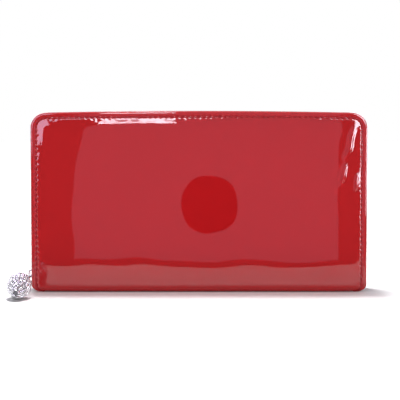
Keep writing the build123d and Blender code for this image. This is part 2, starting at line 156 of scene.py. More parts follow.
def joinParts(parts):  # several pairs of points and faces as one
    points, faces, start = [], [], 0
    for p, f in parts:
        points.append(np.asarray(p, float))
        faces += [[v + start for v in face] for face in f]
        start += len(p)
    return np.concatenate(points), faces


def place(piece, body, slot, *replaced):  # rides on one body
    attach(piece, body)
    if replaced:
        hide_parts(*replaced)
    return piece


def bendWithCover(piece, word, slot, *replaced):
    # keeps the piece where it stands, baked into its mesh, and hides the nodes that it replaces
    y = wallet["sides"][word] * wallet["halfDepth"] * mm
    (foldHeight - wallet["bendBelow"]) * mm
    (foldHeight + wallet["bendAbove"]) * mm
    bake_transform(piece)
    if replaced:
        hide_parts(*replaced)


def bevelCopy(node, name, material, width, segments=2):
    # a cleaned copy of a machined or cut node with its edges rounded
    mesh = nodes[node].data.copy()
    shape = bmesh.new()
    shape.from_mesh(mesh)
    bmesh.ops.remove_doubles(shape, verts=shape.verts, dist=1e-6)
    bmesh.ops.dissolve_limit(shape, angle_limit=math.radians(1), verts=shape.verts, edges=shape.edges)
    shape.to_mesh(mesh)
    shape.free()
    mesh.materials.clear()
    mesh.materials.append(material)
    mesh.polygons.foreach_set("use_smooth", np.full(len(mesh.polygons), True))
    piece = bpy.data.objects.new(name, mesh)
    bpy.context.scene.collection.objects.link(piece)
    bevel = piece.modifiers.new("bevel", "BEVEL")
    bevel.width = width * mm
    bevel.segments = segments
    bevel.limit_method = "ANGLE"
    bevel.angle_limit = math.radians(30)
    bevel.harden_normals = True
    return piece


class Value:
    # a socket that takes part in Python arithmetic: each operation adds one Math node

    def __init__(self, shader, socket):
        self.shader, self.socket = shader, socket

    def math(self, operation, *others):
        return self.shader.node("ShaderNodeMath", {"operation": operation}, [self, *others])

    def __add__(self, other):
        return self.math("ADD", other)

    __radd__ = __add__

    def __mul__(self, other):
        return self.math("MULTIPLY", other)

    __rmul__ = __mul__

    def __sub__(self, other):
        return self.math("SUBTRACT", other)

    def __rsub__(self, other):
        return self.shader.node("ShaderNodeMath", {"operation": "SUBTRACT"}, [other, self])

    def __truediv__(self, other):
        return self.math("DIVIDE", other)

    def __pow__(self, other):
        # the powers 2 and 4 only, by squaring, so that a negative base is safe
        squared = self.math("MULTIPLY", self)
        return squared if other == 2 else squared.math("MULTIPLY", squared)


class Shader:
    # a material whose nodes come from one method: a node's type, its settings, its sockets' values or links

    socketNames = {
        "color": "Base Color", "rough": "Roughness", "metal": "Metallic", "coat": "Coat Weight",
        "coatRough": "Coat Roughness", "coatIor": "Coat IOR", "specular": "Specular IOR Level",
        "sheen": "Sheen Weight", "normal": "Normal", "ior": "IOR", "glow": "Emission Color",
        "glowStrength": "Emission Strength",
    }

    def __init__(self, name):
        self.material = bpy.data.materials.new(name)
        self.material.use_nodes = True
        self.tree = self.material.node_tree
        self.tree.nodes.clear()
        self.output = self.tree.nodes.new("ShaderNodeOutputMaterial")

    def node(self, kind, settings=None, sockets=None, out=0):
        made = self.tree.nodes.new(kind)
        for key, value in (settings or {}).items():
            if key == "stops":
                ramp = made.color_ramp
                for index, (position, color) in enumerate(value):
                    stop = ramp.elements[index] if index < 2 else ramp.elements.new(position)
                    stop.position, stop.color = position, (*color, 1)
            else:
                setattr(made, key, value)
        pairs = sockets.items() if isinstance(sockets, dict) else enumerate(sockets or [])
        for key, value in pairs:
            socket = made.inputs[key]
            if isinstance(value, Value):
                self.tree.links.new(value.socket, socket)
            elif isinstance(value, tuple) and len(value) == 3 and socket.type == "RGBA":
                socket.default_value = (*value, 1)
            else:
                socket.default_value = value
        return Value(self, made.outputs[out])

    def place(self):
        return self.node("ShaderNodeTexCoord", out="Object")

    def attribute(self, name, out="Fac"):
        return self.node("ShaderNodeAttribute", {"attribute_name": name}, out=out)

    def split(self, vector):
        outputs = self.node("ShaderNodeSeparateXYZ", sockets=[vector]).socket.node.outputs
        return [Value(self, outputs[k]) for k in range(3)]

    def noise(self, vector, scale, detail=2.0, rough=0.5):
        return self.node("ShaderNodeTexNoise", sockets={
            "Vector": vector, "Scale": scale, "Detail": detail, "Roughness": rough})

    def mix(self, share, first, second):
        # sockets 0, 6 and 7 of a Mix node are its factor and its two colours, and output 2 the mixed colour
        return self.node("ShaderNodeMix", {"data_type": "RGBA"}, {0: share, 6: first, 7: second}, out=2)

    def bump(self, height, distance, strength=1.0):
        return self.node("ShaderNodeBump", sockets={
            "Height": height, "Distance": distance, "Strength": strength})

    def finish(self, **sockets):
        named = {self.socketNames[key]: value for key, value in sockets.items()}
        surface = self.node("ShaderNodeBsdfPrincipled", sockets=named)
        self.tree.links.new(surface.socket, self.output.inputs["Surface"])
        return self.material


patent = {
    "color": (0.462, 0.0095, 0.0122), "deep": (0.435, 0.0082, 0.0108), "raw": (0.24, 0.010, 0.014),
    # millimetres of height: a long sway, orange peel, the seam's gathers and the bare edge's fibres
    "sway": 0.28, "peel": 0.006, "finePeel": 0.0012, "gathers": 0.34, "fibres": 0.01,
    "rawRough": 0.62, "filmRough": 0.025, "ior": 1.56,
}
flexed = [
    {"x": 87.8, "z": 87.0, "tilt": 15, "length": 8.5, "width": 1.45, "height": 0.76},
    {"x": 84.0, "z": 69.0, "tilt": 18, "length": 5.5, "width": 1.30, "height": 0.68},
    {"x": 91.3, "z": 64.0, "tilt": 12, "length": 5.0, "width": 1.10, "height": 0.58},
]


def flexCreases(s, where):
    # short soft ridges at one end of the front cover, each a bell across its line that fades at both ends
    x, y, z = s.split(where)
    total = 0.0
    for crease in flexed:
        turn = math.radians(crease["tilt"])
        across, up = x / mm - crease["x"], z / mm - crease["z"]
        along = across * math.sin(turn) + up * math.cos(turn)
        off = across * math.cos(turn) - up * math.sin(turn) + (along * 0.45).math("SINE") * 0.4
        bell = ((off / crease["width"]) ** 2 + (along / crease["length"]) ** 4) * -1.0
        total = bell.math("EXPONENT") * crease["height"] + total
    return total * y.math("LESS_THAN", 0.0)


def patentLeather():
    # red leather under a clear film, which the attribute film turns off at the cut edge and on the inner face
    s = Shader("patentLeather")
    where = s.place()
    film = s.attribute("film")
    color = s.mix(s.noise(where, 22.0, 3.0), patent["color"], patent["deep"])
    sway = s.noise(where, 26.0, 1.0) * patent["sway"]
    peel = s.noise(where, 140.0, 2.0) * patent["peel"] + s.noise(where, 700.0, 1.0) * patent["finePeel"]
    gathers = s.attribute("seam") * (s.noise(where, 210.0, 1.0, 0.5) * patent["gathers"])
    fibres = s.noise(where, 2600.0, 4.0, 0.7) * patent["fibres"]
    height = (sway + peel + gathers + flexCreases(s, where)) * film + fibres * (1 - film)
    rough = patent["rawRough"] - film * (patent["rawRough"] - patent["filmRough"])
    return s.finish(color=s.mix(film, patent["raw"], color), rough=rough, ior=patent["ior"],
                    normal=s.bump(height, mm))


def threadMaterial():
    # polyester thread: a twist runs round each stitch
    s = Shader("redThread")
    along, around, spare = s.split(s.attribute("weave", "Vector"))
    twist = (along * 5.2 + around * 3.0).math("SINE")
    color = s.mix(twist * 0.5 + 0.5, (0.30, 0.011, 0.020), (0.50, 0.022, 0.034))
    return s.finish(color=color, rough=0.5, specular=0.12, normal=s.bump(twist, 0.00005, 0.7))


def tapeMaterial():
    # woven zip tape: fine ribs along it, picks across it and a herringbone band
    s = Shader("zipTapeWeave")
    along, across, spare = s.split(s.attribute("weave", "Vector"))
    ribs = (across * 15.0).math("SINE")
    picks = (along * 11.0 + (across * 7.5).math("PINGPONG", 1.0) * 3.0).math("SINE")
    fuzz = s.noise(s.place(), 1800.0, 3.0)
    weave = ribs * 0.45 + picks * 0.55
    color = s.mix(weave * 0.35 + fuzz * 0.5 + 0.15, (0.21, 0.006, 0.012), (0.40, 0.014, 0.022))
    return s.finish(color=color, rough=0.82, sheen=0.25, specular=0.25,
                    normal=s.bump(weave + fuzz * 0.5, 0.00006, 0.8))


def coinTapeMaterial():
    # the coin pocket's tape: a plain weave of picks both ways
    s = Shader("coinTapeWeave")
    x, y, z = s.split(s.place())
    picks = (x * 11000.0).math("SINE") * ((y + z) * 15000.0).math("SINE")
    fuzz = s.noise(s.place(), 1800.0, 3.0)
    color = s.mix(picks * 0.3 + fuzz * 0.6 + 0.1, (0.20, 0.006, 0.012), (0.38, 0.013, 0.021))
    return s.finish(color=color, rough=0.82, sheen=0.25, specular=0.25, normal=s.bump(picks, 0.00005, 0.8))


def polishedMetal(name, tint, rough):
    # plated metal with fine wiping marks and slightly duller patches
    s = Shader(name)
    where = s.place()
    stretched = s.node("ShaderNodeMapping", sockets={"Vector": where, "Scale": (9.0, 1.0, 1.0)})
    marks = s.noise(stretched, 900.0, 3.0, 0.65)
    smears = s.noise(where, 160.0, 2.0)
    color = s.mix(smears * 0.6, tint, tuple(0.72 * c for c in tint))
    return s.finish(color=color, metal=1.0, rough=marks * 0.10 + smears * 0.08 + rough,
                    normal=s.bump(marks, 0.000004, 0.4))


def crystalMaterial():
    # foil-backed cut crystal: it mirrors its surroundings, and each facet also has a tone of its own, from
    # nearly black to mirror bright, which paints a glint on some facets and a dark reflection on others
    s = Shader("cutCrystal")
    stops = ((0.0, (0.035, 0.035, 0.045)), (0.34, (0.12, 0.12, 0.15)), (0.46, (0.72, 0.72, 0.78)),
             (1.0, (1.0, 1.0, 1.0)))
    color = s.node("ShaderNodeValToRGB", {"stops": stops}, [s.attribute("tone")])
    veins = s.noise(s.place(), 2500.0, 1.0)
    return s.finish(color=color, metal=0.82, rough=veins * 0.08 + 0.02, coat=1.0, coatRough=0.01, coatIor=1.6)


def innerLeather():
    # smooth red calf for the pockets: fine pebble grain with creases
    s = Shader("pocketLeather")
    where = s.place()
    cells = s.node("ShaderNodeTexVoronoi", {"feature": "DISTANCE_TO_EDGE"},
                   {"Vector": where, "Scale": 1100.0})
    pebble = cells.math("MINIMUM", 0.22) * 4.0
    creases = s.noise(where, 260.0, 4.0, 0.6)
    color = s.mix(creases * 0.7 + pebble * 0.2, (0.17, 0.006, 0.010), (0.34, 0.012, 0.017))
    return s.finish(color=color, rough=0.52 - pebble * 0.10, specular=0.4,
                    normal=s.bump(pebble * 0.7 + creases, 0.00007, 0.6))


def liningCloth():
    # dark red twill: diagonal ribs crossed by a finer pick
    s = Shader("liningTwill")
    x, y, z = s.split(s.place())
    ribs = ((x + z + y * 0.7) * 6200.0).math("SINE")
    pick = ((x - z) * 9800.0).math("SINE")
    fuzz = s.noise(s.place(), 1500.0, 3.0)
    weave = ribs * 0.6 + pick * 0.25
    color = s.mix(weave * 0.3 + fuzz * 0.5 + 0.2, (0.085, 0.006, 0.010), (0.21, 0.012, 0.020))
    return s.finish(color=color, rough=0.78, sheen=0.3, specular=0.3, normal=s.bump(weave, 0.00005, 0.7))


def fibreBoard():
    # grey-brown board of pressed fibres with flecks
    s = Shader("coverBoard")
    where = s.place()
    fibres = s.noise(where, 700.0, 5.0, 0.7)
    flecks = s.noise(where, 2400.0, 2.0)
    color = s.mix(fibres * 0.7 + flecks * 0.3, (0.26, 0.20, 0.14), (0.47, 0.40, 0.31))
    return s.finish(color=color, rough=0.9, normal=s.bump(fibres, 0.00005, 0.6))


print("materials")
redPatent = patentLeather()
redThread = threadMaterial()
redTape = tapeMaterial()
coinTape = coinTapeMaterial()
nickel = polishedMetal("polishedNickel", (0.80, 0.79, 0.78), 0.06)
toothMetal = polishedMetal("zipToothMetal", (0.52, 0.51, 0.50), 0.24)
silver = polishedMetal("charmSilver", (0.86, 0.86, 0.88), 0.05)
# the charm's setting: a dark colour that paints the shade in the gaps between the stones
gapShadeSilver = polishedMetal("settingPaintedShade", (0.16, 0.16, 0.17), 0.25)
crystal = crystalMaterial()
pocketLeather = innerLeather()
twill = liningCloth()
board = fibreBoard()


class Section:
    # the wallet's section at one depth: half the spine's underside, a quarter circle, then up the cover

    def __init__(self, side, depth, height):
        self.side, self.depth = side, depth
        self.radius = wallet["spineRadius"] - depth
        self.flat = wallet["halfDepth"] - depth - self.radius
        self.bend = self.radius * math.pi / 2
        self.top = self.flat + self.bend + height - depth - self.radius

    def angleOf(self, t):  # how far round the bend
        return np.clip((t - self.flat) / self.radius, 0, math.pi / 2)

    def heightOf(self, t):  # up the quarter circle, then straight up
        rise = np.maximum(t - self.flat - self.bend, 0)
        return self.depth + self.radius * (1 - np.cos(self.angleOf(t))) + rise

    def place(self, x, t, lift):
        # flat sheet coordinates (x, t) and a lift off the sheet become points; the top dips towards both ends
        angle = self.angleOf(t)
        y = np.minimum(t, self.flat) + self.radius * np.sin(angle) + lift * np.sin(angle)
        z = self.heightOf(t) - lift * np.cos(angle)
        z = z - wallet["topBow"] * (x / wallet["halfLength"]) ** 2 * np.clip(z / wallet["height"], 0, 1) ** 6
        return np.stack([x, self.side * y, z], -1)


def halfWidthAt(section, t, inset):
    # half the sheet's width at t: the full length, less the rounding of the spine's lower corners
    corner = wallet["spineCorner"]
    short = np.clip(corner - section.heightOf(t), 0, corner)
    return wallet["halfLength"] - inset - (corner - np.sqrt(corner ** 2 - short ** 2))


def edgeCurve(section, inset, count):
    # the sheet's edge from the left end of the spine up, over and down: even points and inward normals
    radius = wallet["cornerRadius"] - inset
    top = section.top - inset
    side = np.linspace(0, top - radius, 900)
    left = np.stack([-halfWidthAt(section, side, inset), side], -1)
    a = np.linspace(0, math.pi / 2, 200)[1:]
    x = wallet["halfLength"] - inset - radius
    corner = np.stack([-x - radius * np.cos(a), top - radius + radius * np.sin(a)], -1)
    half = np.concatenate([left, corner, [[0.0, top]]])
    whole = np.concatenate([half, (half * [-1, 1])[-2::-1]])
    steps = np.concatenate([[0], np.cumsum(np.linalg.norm(np.diff(whole, axis=0), axis=1))])
    at = np.linspace(0, steps[-1], count)
    curve = np.stack([np.interp(at, steps, whole[:, k]) for k in range(2)], -1)
    tangent = unit(np.gradient(curve, axis=0))
    normal = np.stack([tangent[:, 1], -tangent[:, 0]], -1)
    onSide = curve[:, 1] < top - radius
    normal[onSide] = np.stack([-np.sign(curve[onSide, 0]), np.zeros(onSide.sum())], -1)
    return curve, normal, at


def edgeDistance(section, x, t):
    # how far a point of the sheet lies inside its edge: a rounded rectangle's distance
    radius = wallet["cornerRadius"]
    across = np.abs(x) - (halfWidthAt(section, t, 0.0) - radius)
    up = t - (section.top - radius)
    outside = np.hypot(np.maximum(across, 0), np.maximum(up, 0))
    return radius - outside - np.minimum(np.maximum(across, up), 0)


def coons(bottom, top, left, right):
    # a patch between four edge curves: the two ruled surfaces added, less the one through the corners
    u = np.linspace(0, 1, len(bottom))[None, :, None]
    v = np.linspace(0, 1, len(left))[:, None, None]
    ruled = (1 - v) * bottom[None] + v * top[None] + (1 - u) * left[:, None] + u * right[:, None]
    corners = (1 - v) * ((1 - u) * bottom[0] + u * bottom[-1]) + v * ((1 - u) * top[0] + u * top[-1])
    return ruled - corners


skin = {
    "stitchInset": 3.0, "stitchPitch": 3.0, "grooveDepth": 0.24, "grooveWidth": 0.50,
    "crown": 1.34, "crownRun": 3.2, "crownStart": 3.2, "edgeRound": 1.35, "edgeDrop": 0.90,
    "marginLean": 0.13, "marginStart": 1.15, "pucker": 0.11, "puckerAt": 3.7, "puckerWidth": 1.3,
    "seamAt": 4.0, "seamWidth": 1.3, "finePerStitch": 6, "coarse": 2, "band": 7.0,
}


def stitchCount(section):  # the whole stitches that fit along the line of the seam
    return int(edgeCurve(section, skin["stitchInset"], 400)[2][-1] / skin["stitchPitch"])


def skinHeight(section, x, t, phase):
    # the face above the sheet: a rolled edge, a leaning margin, the puckered stitch groove, then a crowned
    # panel whose crown fades round the bend, with a faint wave in it
    d = np.clip(edgeDistance(section, x, t), 0, None)
    near = np.clip(1 - d / skin["edgeRound"], 0, 1)
    roll = -skin["edgeDrop"] * (1 - np.sqrt(1 - near ** 2))
    gap = (d - skin["stitchInset"]) / skin["grooveWidth"]
    groove = np.exp(-gap ** 2) * (0.65 - 0.35 * np.cos(phase))
    pucker = skin["pucker"] * np.exp(-((d - skin["puckerAt"]) / skin["puckerWidth"]) ** 2) * np.cos(phase)
    margin = np.clip(d - skin["marginStart"], 0, skin["stitchInset"] - skin["edgeRound"])
    inside = np.maximum(d - skin["crownStart"], 0)
    crown = skin["crown"] * (1 - np.exp(-inside / skin["crownRun"])) * np.sin(section.angleOf(t)) ** 2
    wave = 0.035 * np.sin(x * 0.11 + 1.3) * np.sin(t * 0.07 + 0.4)
    wave = wave + 0.02 * np.sin(x * 0.21 + t * 0.05) * np.exp(-((t - 30) / 16) ** 2)
    lean = -skin["marginLean"] * margin
    return roll + lean - skin["grooveDepth"] * groove + pucker + crown + wave * np.clip((d - 5) / 15, 0, 1)


def makeSkin(word, side):
    # a fine band along the edge that holds the stitch groove, a coarser band, then one patch over the middle;
    # the inner face is the same again from coarse points only, one leather thickness deep
    section = Section(side, 0.0, wallet["height"])
    step = skin["coarse"]
    stitches = stitchCount(section)
    fine = stitches * skin["finePerStitch"]
    fine += (-fine) % (2 * step)
    count = fine + 1
    curve, normal, at = edgeCurve(section, 0.0, count)
    phase = np.linspace(0, 2 * math.pi * stitches, count)
    roll = skin["edgeRound"] * (1 - np.cos(np.linspace(0, math.pi / 2, 9)))
    depths = np.concatenate([roll, np.linspace(1.8, 2.3, 3), np.linspace(2.45, 3.95, 10)])
    coarseDepths = np.array([4.6, 5.4, 6.2, skin["band"]])
    backDepths = np.array([0.12, 0.45, 1.0, skin["band"]])
    backLift = -wallet["leather"] + np.array([0.12, 0.02, 0.0, 0.0])

    def outerFace(flat, phases):
        x, t = flat[..., 0], flat[..., 1]
        return section.place(x, t, skinHeight(section, x, t, phases)).reshape(-1, 3)

    pick = np.arange(0, count, step)
    columns = len(pick)
    coarseFlat = curve[pick][None] + coarseDepths[:, None, None] * normal[pick][None]
    ring = coarseFlat[-1]
    toCorner = section.top - wallet["cornerRadius"] * (1 - math.pi / 4)
    sideCount = int(np.argmin(np.abs(at[pick] - toCorner)))
    topRow = ring[sideCount: columns - sideCount]
    bottomX = np.linspace(ring[0, 0], ring[-1, 0], len(topRow))
    bottomRow = np.stack([bottomX, np.full(len(topRow), ring[0, 1])], -1)
    patch = coons(bottomRow, topRow, ring[: sideCount + 1], ring[columns - 1 - sideCount:][::-1])
    rows, wide = patch.shape[:2]
    quarter = math.pi / 2  # a stitch phase at which nothing puckers
    layers = [
        outerFace(curve[None] + depths[:, None, None] * normal[None], phase[None]),
        outerFace(coarseFlat, np.full(columns, quarter)[None]),
        outerFace(patch, np.full((rows, wide), quarter)),
    ]
    backFlat = curve[pick][None] + backDepths[:, None, None] * normal[pick][None]
    lifts = np.broadcast_to(backLift[:, None], backFlat.shape[:2])
    layers.append(section.place(backFlat[..., 0], backFlat[..., 1], lifts).reshape(-1, 3))
    flatBack = np.full((rows, wide), -wallet["leather"])
    layers.append(section.place(patch[..., 0], patch[..., 1], flatBack).reshape(-1, 3))
    sizes = [len(layer) for layer in layers]
    startCoarse, startPatch, backStart, backPatchStart = np.cumsum(sizes[:-1]).tolist()
    fineRow = (len(depths) - 1) * count
    faces = gridFaces(len(depths), count).tolist()
    faces += [[startCoarse + k, startCoarse + k + 1] + [fineRow + (k + 1) * step - j for j in range(step + 1)]
              for k in range(columns - 1)]
    faces += gridFaces(len(coarseDepths), columns, offset=startCoarse).tolist()
    faces += gridFaces(rows, wide, offset=startPatch).tolist()
    faces += [[backStart + k, backStart + k + 1] + [(k + 1) * step - j for j in range(step + 1)]
              for k in range(columns - 1)]
    faces += gridFaces(len(backDepths), columns, offset=backStart).tolist()
    faces += gridFaces(rows, wide, offset=backPatchStart).tolist()

    def seamAt(d, copies):
        return np.repeat(np.exp(-((d - skin["seamAt"]) / skin["seamWidth"]) ** 2), copies)

    noFilm = np.zeros(sizes[3] + sizes[4])
    film = np.concatenate([np.repeat(np.clip((depths - 0.02) / 0.1, 0, 1), count),
                           np.ones(sizes[1] + sizes[2]), noFilm])
    seam = np.concatenate([seamAt(depths, count), seamAt(coarseDepths, columns), np.zeros(sizes[2]), noFilm])
    piece = makeMesh(f"{word}_patent_leather", np.concatenate(layers), faces, redPatent,
                     {"film": film, "seam": seam})
    closeShell(piece)
    bendWithCover(piece, word, "patent_leather", f"{word}_cover_leather", "spine_leather")
    return section


def closeShell(piece):
    # joins the patches' shared rows, closes the cut under the spine, and turns every face outwards
    shape = bmesh.new()
    shape.from_mesh(piece.data)
    bmesh.ops.remove_doubles(shape, verts=shape.verts, dist=2e-6)
    bmesh.ops.holes_fill(shape, edges=[edge for edge in shape.edges if edge.is_boundary], sides=0)
    bmesh.ops.recalc_face_normals(shape, faces=shape.faces)
    shape.to_mesh(piece.data)
    shape.free()
    piece.data.polygons.foreach_set("use_smooth", np.full(len(piece.data.polygons), True))


stitch = {"length": 1.22, "width": 0.33, "height": 0.26, "sink": 0.10, "hook": 0.14, "tilt": 7, "sides": 6,
          "rings": [(-1, 0.35), (-0.72, 0.85), (0, 1.0), (0.72, 0.85), (1.0, 0.35)]}


def makeStitches(word, side, section):
    # each stitch is a spindle that lies in the groove between two holes, tilted a little as a lockstitch is:
    # its rings swell and shrink along it, and its ends dip by the cube of the way out
    number = stitchCount(section)
    curve, normal, at = edgeCurve(section, 0.0, number * skin["finePerStitch"] + 1)
    inset = curve + skin["stitchInset"] * normal
    lift = np.full(len(inset), -stitch["sink"])
    points = section.place(inset[:, 0], inset[:, 1], lift)
    raised = section.place(inset[:, 0], inset[:, 1], lift + 1.0)
    middle = np.arange(number) * skin["finePerStitch"] + skin["finePerStitch"] // 2
    along = unit(points[middle + 2] - points[middle - 2])
    up = unit(raised[middle] - points[middle])
    across = np.cross(along, up)
    c, s = math.cos(math.radians(stitch["tilt"])), math.sin(math.radians(stitch["tilt"]))
    along, across = along * c + across * s, across * c - along * s
    sides, rings = stitch["sides"], np.array(stitch["rings"])
    ringAt, ringSize = rings[:, 0:1], rings[:, 1:2]
    a = turnOf(sides)
    lengths = np.repeat(ringAt * stitch["length"], sides, 1)
    dip = stitch["hook"] * np.abs(ringAt) ** 3 * np.ones((1, sides))
    template = np.stack([stitch["width"] * ringSize * np.cos(a)[None], lengths,
                         stitch["height"] * ringSize * np.sin(a)[None] - dip], -1)
    weave = np.stack([lengths, np.repeat(a[None], len(rings), 0), np.zeros((len(rings), sides))], -1)
    points, faces = manyCopies(template.reshape(-1, 3), ringFaces(len(rings), sides), points[middle],
                               across, along, up)
    piece = makeMesh(f"{word}_edge_stitching", points, faces, redThread,
                     {"weave": np.tile(weave.reshape(-1, 3), (number, 1))}, fixNormals=True)
    bendWithCover(piece, word, "patent_leather")


for word, side in wallet["sides"].items():
    section = makeSkin(word, side)
    makeStitches(word, side, section)
print("outer leather and stitching")


zipLine = {
    "edge": 1.9, "bead": 0.42, "beadSteps": 7, "halfThick": 0.25, "sag": 0.22, "pitch": 2.4, "corner": 6.8,
    "x": tapeHigh[0] - 0.25, "z": tapeHigh[2] - 0.25, "tailBottom": boxMm("left_tape_tails")[0][2],
    "firstTooth": foldHeight + 1.4, "toothStep": 0.1, "tapeStep": 1.2, "tapeDepth": 2.4, "spans": 9,
    # a tooth's stations: place across the zip, half length along it, half height
    "tooth": [(2.60, 0.28, 0.80), (2.50, 0.42, 1.00), (2.05, 0.45, 1.08), (1.50, 0.44, 1.06),
              (0.95, 0.36, 0.86), (0.35, 0.38, 0.84), (-0.25, 0.44, 0.92), (-0.58, 0.40, 0.84),
              (-0.74, 0.20, 0.56)],
    "toothChamfer": 0.62,
}


def zipPath(step, bottom):
    # the zip's centre line from this height on the left, up, across and down to the same height on the right:
    # three straight runs joined by quarter circles
    x, z, r = zipLine["x"], zipLine["z"], zipLine["corner"]
    straight = z - r - bottom
    bend = math.pi * r / 2
    top = 2 * (x - r)
    marks = np.cumsum([0, straight, bend, top, bend, straight])
    s = np.arange(0, marks[-1], step)
    one = np.clip((s - marks[1]) / r, 0, math.pi / 2)
    two = np.clip((s - marks[3]) / r, 0, math.pi / 2)
    px = -x + r * (1 - np.cos(one)) + np.clip(s - marks[2], 0, top) + r * np.sin(two)
    climbed = np.minimum(s, straight) + r * np.sin(one)
    pz = bottom + climbed - r * (1 - np.cos(two)) - np.maximum(s - marks[4], 0)
    angle = math.pi / 2 - one - two
    tangent = np.stack([np.cos(angle), 0 * angle, np.sin(angle)], -1)
    outward = np.stack([-np.sin(angle), 0 * angle, np.cos(angle)], -1)
    share = (px / wallet["halfLength"]) ** 2 * np.clip(pz / wallet["height"], 0, 1) ** 6
    return np.stack([px, 0 * px, pz - wallet["topBow"] * 0.55 * share], -1), tangent, outward, s


def tapeReach(z):
    # how far across the tape goes at each height: inside the lining below the fold, to the leather above it
    deep = zipLine["tapeDepth"]
    bendRadius = wallet["spineRadius"] - deep
    drop = np.clip(deep + bendRadius - z, 0, bendRadius)
    wall = wallet["halfDepth"] - deep
    low = wall - bendRadius + np.sqrt(bendRadius ** 2 - drop ** 2) - 0.1
    reach = np.where(z < foldHeight, low, wallet["halfDepth"] - wallet["leather"] - 0.02)
    ease = np.clip((z - foldHeight) / 2.0, 0, 1)
    eased = np.minimum(reach, wall - 0.1 + ease * (deep - wallet["leather"]))
    return np.where(z < foldHeight + 2.0, eased, reach)


def makeTape(word, side):
    # a flat woven ribbon with a beaded inner edge, its section carried along the zip's line
    centre, tangent, outward, s = zipPath(zipLine["tapeStep"], zipLine["tailBottom"])
    edge, bead = zipLine["edge"], zipLine["bead"]
    count, spans = zipLine["beadSteps"], zipLine["spans"]
    a = np.linspace(math.pi * 0.72, -math.pi * 0.72, count)
    start = edge + 2 * bead
    ribbon = start + (tapeReach(centre[:, 2])[:, None] - start) * np.linspace(0, 1, spans)[None]
    y = np.concatenate([np.broadcast_to(edge + bead - bead * np.cos(a), (len(s), count)), ribbon,
                        ribbon[:, ::-1]], 1)
    half = zipLine["halfThick"]
    out = np.concatenate([bead * np.sin(a), np.full(spans, -half), np.full(spans, half)])
    sag = zipLine["sag"] * np.sin(math.pi * np.clip((y - edge) / 8.0, 0, 1))
    points = centre[:, None] + (out[None] - sag)[..., None] * outward[:, None] + np.stack(
        [0 * y, side * y, 0 * y], -1)
    weave = np.stack([np.broadcast_to(s[:, None], y.shape), y, 0 * y], -1)
    piece = makeMesh(f"{word}_zip_tape_woven", points.reshape(-1, 3), ringFaces(len(s), y.shape[1]), redTape,
                     {"weave": weave.reshape(-1, 3)}, fixNormals=True)
    bendWithCover(piece, word, "zip_tape", f"{word}_zip_tape", "left_tape_tails", "right_tape_tails")


def makeTeeth(word, side):
    # each tooth: legs clamped over the tape's bead, a waist, and a rounded head with a nib for the next one
    step, pitch = zipLine["toothStep"], zipLine["pitch"]
    centre, tangent, outward, s = zipPath(step, zipLine["firstTooth"])
    shift = 0 if side < 0 else pitch / 2
    count = int((s[-1] - pitch * 1.5) / pitch)
    at = ((np.arange(count) * pitch + shift) / step).round().astype(int)
    stations = np.array(zipLine["tooth"])
    c = zipLine["toothChamfer"]
    corners = np.array([[-1, -c], [-c, -1], [c, -1], [1, -c], [1, c], [c, 1], [-c, 1], [-1, c]])
    template = np.stack([np.repeat(stations[:, 0:1], len(corners), 1), stations[:, 1:2] * corners[None, :, 0],
                         stations[:, 2:3] * corners[None, :, 1]], -1)
    across = np.tile(np.array([0.0, side, 0.0]), (count, 1))
    points, faces = manyCopies(template.reshape(-1, 3), ringFaces(len(stations), len(corners)), centre[at],
                               across, tangent[at], outward[at])
    piece = makeMesh(f"{word}_zip_tooth_row", points, faces, toothMetal, fixNormals=True, smooth=False)
    place(piece, f"{word}_cover", "polished_metal", f"{word}_zip_teeth")


for word, side in wallet["sides"].items():
    makeTape(word, side)
    makeTeeth(word, side)
for node, name, body, width in (
        ("zip_bottom_stop", "zip_bottom_stop_box", "spine", 0.30),
        ("zip_slider_body", "slider_body_cast", "zip_slider", 0.28),
        ("zip_slider_bridge", "slider_bridge_arch", "zip_slider", 0.26)):
    place(bevelCopy(node, name, nickel, width, 3), body, "polished_metal", node)
print("zip and slider")


link = {"halfWidth": 2.2, "wire": 0.6, "tail": 3.2, "steps": 14, "sides": 14}


def makeLink():
    # a wire ring of two straight sides and two half circles, from the bridge to the charm's eye
    hinge = np.array(joints["pull_link_swing"]["pos_m"]) / mm
    eye = np.array(joints["charm_swing"]["pos_m"]) / mm
    reach = np.linalg.norm(eye - hinge)
    w = link["halfWidth"]
    a = np.linspace(-math.pi / 2, math.pi / 2, link["steps"])
    front = np.stack([reach - w + w * np.cos(a), w * np.sin(a)], -1)
    back = np.stack([-link["tail"] + w - w * np.cos(a), -w * np.sin(a)], -1)
    plan = np.concatenate([front, back])
    path = hinge + plan[:, 0:1] * (eye - hinge) / reach + plan[:, 1:2] * np.array([1.0, 0, 0])
    points, faces = closedTube(path, link["wire"], link["sides"])
    place(makeMesh("pull_link_wire", points, faces, nickel, fixNormals=True), "pull_link", "polished_metal",
          "pull_link")


charm = {
    "neck": 4.6, "neckRadius": 2.4, "bulge": 7.7, "waist": 8.6, "length": 24.6, "pitch": 10.0, "yaw": -1.5,
    "stonePitch": 2.05, "ringPitch": 0.88, "stoneSides": 8, "stoneTilt": 0.10, "seed": 7,
    # a stone's rings: radius, height and turn, from below the girdle to the flat table
    "stone": [(0.90, -0.25, 0), (0.92, 0.06, 0), (0.62, 0.38, math.pi / 8), (0.40, 0.47, 0)],
    "beadOut": 1.02, "beadLift": 0.10, "beadSize": 0.20, "beadSides": 6,
    "bead": [(1.0, -0.6), (0.9, 0.35), (0.45, 0.85)],
}


def charmAxes():
    # the charm's eye, its direction from its pitch and yaw, and the two directions square to that
    pitch, yaw = math.radians(charm["pitch"]), math.radians(charm["yaw"])
    axis = np.array([math.sin(yaw) * math.cos(pitch), -math.cos(yaw) * math.cos(pitch), -math.sin(pitch)])
    swing = np.array([math.cos(yaw), math.sin(yaw), 0])
    return np.array(joints["charm_swing"]["pos_m"]) / mm, axis, np.cross(swing, axis), swing


